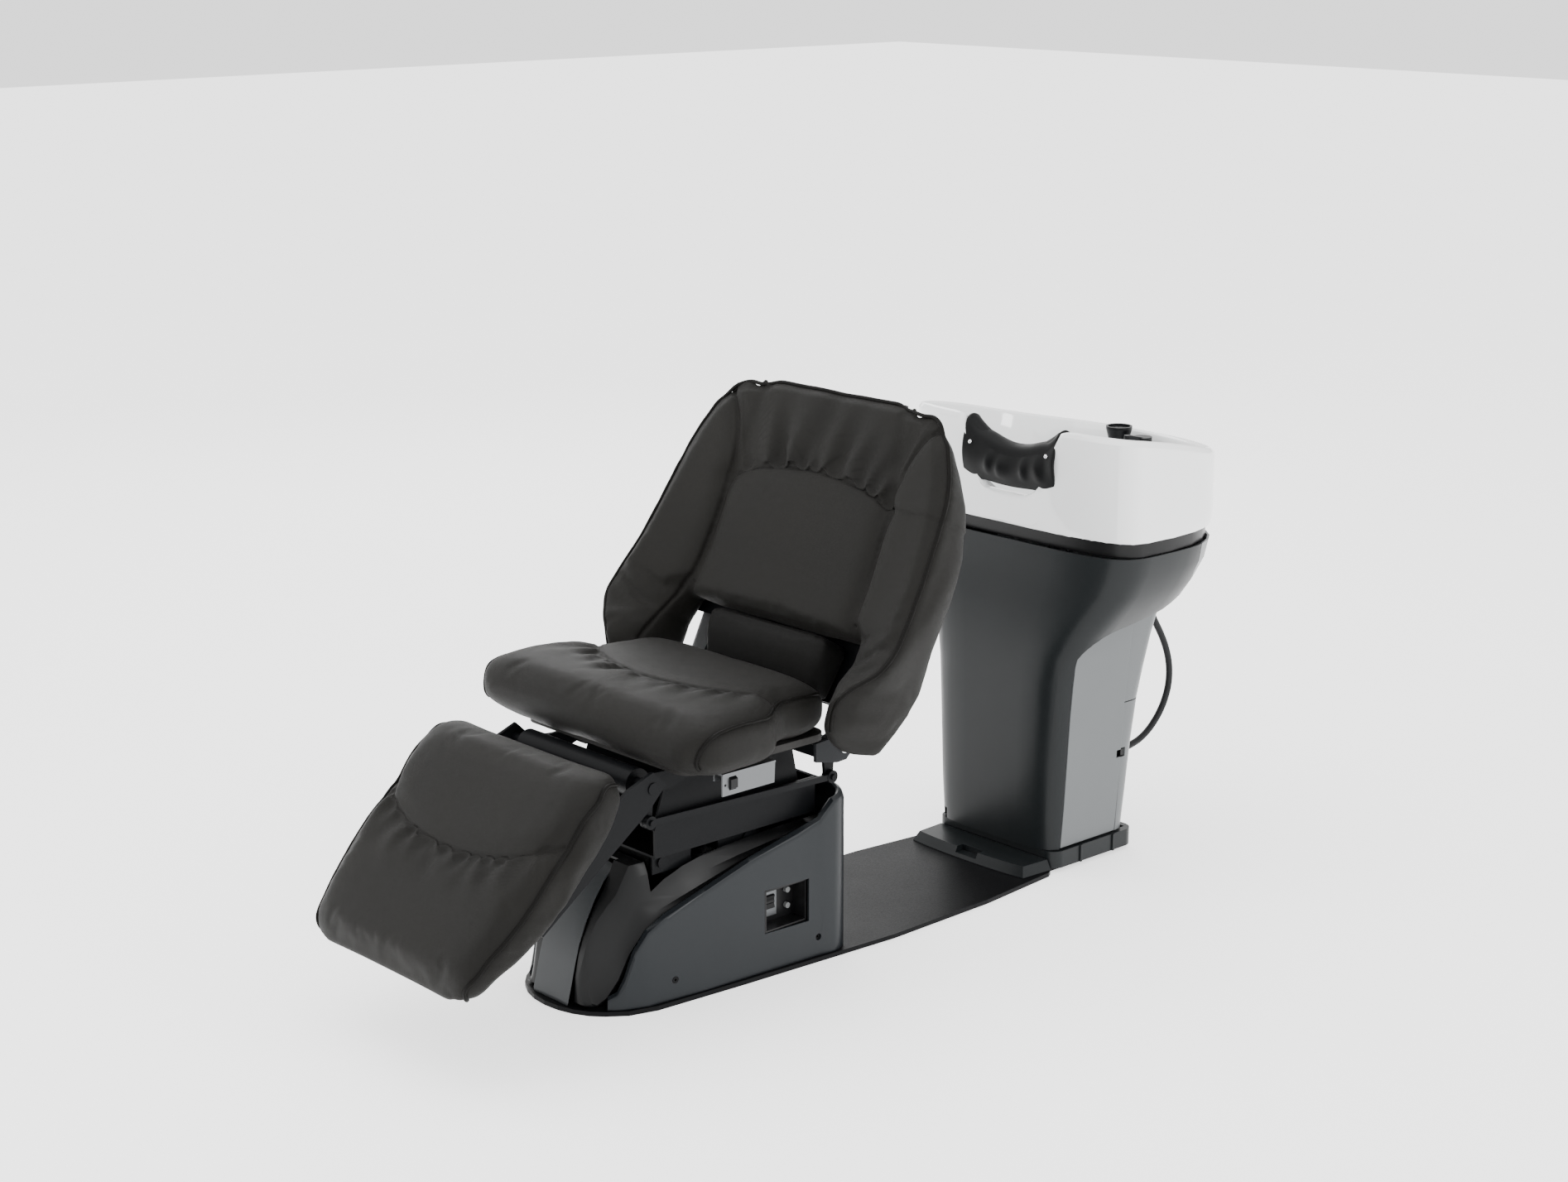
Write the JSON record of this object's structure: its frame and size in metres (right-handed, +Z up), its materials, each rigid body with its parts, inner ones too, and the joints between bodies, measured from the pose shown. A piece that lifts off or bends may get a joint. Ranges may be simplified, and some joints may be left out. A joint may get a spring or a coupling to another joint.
{
  "type": "shampoo backwash unit",
  "caption": "Reclining salon chair with winged back and leg rest on a boat-shaped base, joined by a floor plate to a pedestal with a neck-cut wash basin.",
  "frame": {"origin": "on the floor, in the middle of the unit's box", "axes": "+Z up, -Y the foot end, +Y the basin end, +X the side with the switches"},
  "size_m": [0.7136, 1.7719, 0.9398],
  "materials": {
    "upholstery": "dark warm grey-black vinyl with a fine grain",
    "board": "black-stained plywood",
    "frame_black": "satin black powder coat",
    "steel_bright": "bright brushed steel",
    "motor_grey": "dark grey cast housing",
    "plate_black": "satin black plate",
    "cover_charcoal": "charcoal satin moulding",
    "cover_black": "black half-gloss moulding",
    "cover_mid": "mid grey satin moulding",
    "shell_dark": "dark grey satin moulding",
    "panel_grey": "grey satin moulding",
    "shell_silver": "light silver grey moulding",
    "panel_silver": "silver grey plate",
    "switch_black": "black switch plastic",
    "button_grey": "light grey push button",
    "screw_dark": "blackened screw",
    "ceramic_white": "white glaze",
    "neck_rubber": "soft black moulded rubber",
    "chrome": "polished",
    "pipe_grey": "grey waste pipe",
    "brass": "plain brass",
    "fitting_black": "black fitting",
    "hose_grey": "dark grey hose"
  },
  "bodies": {
    "base": {"base_plate": "plate_black", "base_frame": "frame_black", "base_side_cover": "cover_charcoal", "base_inner_cover": "cover_black", "base_front_panel": "cover_mid", "cover_screws": "screw_dark", "switch_recess": "switch_black", "lift_gearbox": "motor_grey", "control_box": "switch_black", "plinth": "shell_dark", "foot_flange": "shell_dark", "column_frame": "frame_black", "pedestal_front_shell": "shell_dark", "side_panel_left": "panel_grey", "side_panel_right": "panel_grey", "rear_hood": "panel_grey", "service_cover": "panel_grey", "cover_latch": "switch_black", "collar_band": "switch_black", "basin": "ceramic_white", "neck_rest": "neck_rubber", "drain_body": "chrome", "drain_pipe": "pipe_grey", "supply_pipes": "brass", "fittings_body": "fitting_black", "shower_holder": "fitting_black", "shower_hose": "hose_grey", "hose_glands": "fitting_black"},
    "front_link": {"front_links": "frame_black", "front_lift_shaft": "steel_bright"},
    "rear_link": {"rear_links": "frame_black", "rear_lift_shaft": "steel_bright"},
    "seat": {"seat_frame": "frame_black", "upper_link_pins": "frame_black", "seat_board": "board", "seat_cushion": "upholstery", "switch_panel": "panel_silver", "leg_pivot_tube": "frame_black", "hinge_brackets": "motor_grey", "recline_gearbox": "motor_grey", "recline_shaft": "steel_bright"},
    "back": {"back_frame": "frame_black", "back_cushion": "upholstery", "back_wing_left": "upholstery", "back_wing_right": "upholstery", "back_lower_cover": "upholstery", "back_shell": "shell_silver", "shell_screws": "screw_dark"},
    "legrest": {"leg_shaft": "frame_black", "leg_frame": "frame_black", "leg_board": "board", "leg_cushion": "upholstery"},
    "rod": {"link_rod": "frame_black"},
    "seat_rocker": {"seat_switch": "switch_black"},
    "main_rocker": {"main_switch": "switch_black"},
    "upper_button": {"reset_button_upper": "button_grey"},
    "lower_button": {"reset_button_lower": "button_grey"},
    "strainer": {"strainer": "chrome"},
    "mixer": {"mixer_lever": "fitting_black"},
    "shower": {"shower_head": "fitting_black"}
  },
  "joints": [
    {"name": "seat_lift", "type": "hinge", "parent": "base", "child": "front_link", "pos_m": [0, -0.26144, 0.15], "axis": [-1, 0, 0], "range_deg": [0, 30]},
    {"name": "carriage_level", "type": "hinge", "parent": "front_link", "child": "seat", "pos_m": [0, -0.4, 0.23], "axis": [-1, 0, 0], "range_deg": [-30, 0]},
    {"name": "rear_link_swing", "type": "hinge", "parent": "base", "child": "rear_link", "pos_m": [0, -0.07644, 0.15], "axis": [-1, 0, 0], "range_deg": [0, 30]},
    {"name": "back_recline", "type": "hinge", "parent": "seat", "child": "back", "pos_m": [0, -0.095, 0.385], "axis": [-1, 0, 0], "range_deg": [-12, 43]},
    {"name": "legrest_swing", "type": "hinge", "parent": "seat", "child": "legrest", "pos_m": [0, -0.487, 0.396], "axis": [-1, 0, 0], "range_deg": [-12, 43]},
    {"name": "rod_front_pivot", "type": "hinge", "parent": "legrest", "child": "rod", "pos_m": [0, -0.487, 0.338], "axis": [-1, 0, 0], "range_deg": [-43, 12]},
    {"name": "seat_switch_rock", "type": "hinge", "parent": "seat", "child": "seat_rocker", "pos_m": [0.232, -0.3685, 0.393], "axis": [0, 1, 0], "range_deg": [-7, 7], "stiffness_Nm_per_rad": 0.05},
    {"name": "main_switch_rock", "type": "hinge", "parent": "base", "child": "main_rocker", "pos_m": [0.1195, -0.194, 0.115], "axis": [0, 1, 0], "range_deg": [-5, 5]},
    {"name": "upper_button_press", "type": "slide", "parent": "base", "child": "upper_button", "axis": [-1, 0, 0], "range_m": [0, 0.003], "stiffness_N_per_m": 300},
    {"name": "lower_button_press", "type": "slide", "parent": "base", "child": "lower_button", "axis": [-1, 0, 0], "range_m": [0, 0.003], "stiffness_N_per_m": 300},
    {"name": "strainer_lift", "type": "slide", "parent": "base", "child": "strainer", "axis": [0, 0, 1], "range_m": [0, 0.045]},
    {"name": "mixer_turn", "type": "hinge", "parent": "base", "child": "mixer", "pos_m": [0.046, 0.825, 0.75], "axis": [0, 0, 1], "range_deg": [-45, 45]},
    {"name": "shower_lift", "type": "slide", "parent": "base", "child": "shower", "axis": [0, 0, 1], "range_m": [0, 0.12]}
  ],
  "couplings": [
    {"joint": "carriage_level", "follows": "seat_lift", "ratio": -1},
    {"joint": "rear_link_swing", "follows": "seat_lift", "ratio": 1},
    {"joint": "legrest_swing", "follows": "back_recline", "ratio": 1},
    {"joint": "rod_front_pivot", "follows": "back_recline", "ratio": -1}
  ]
}
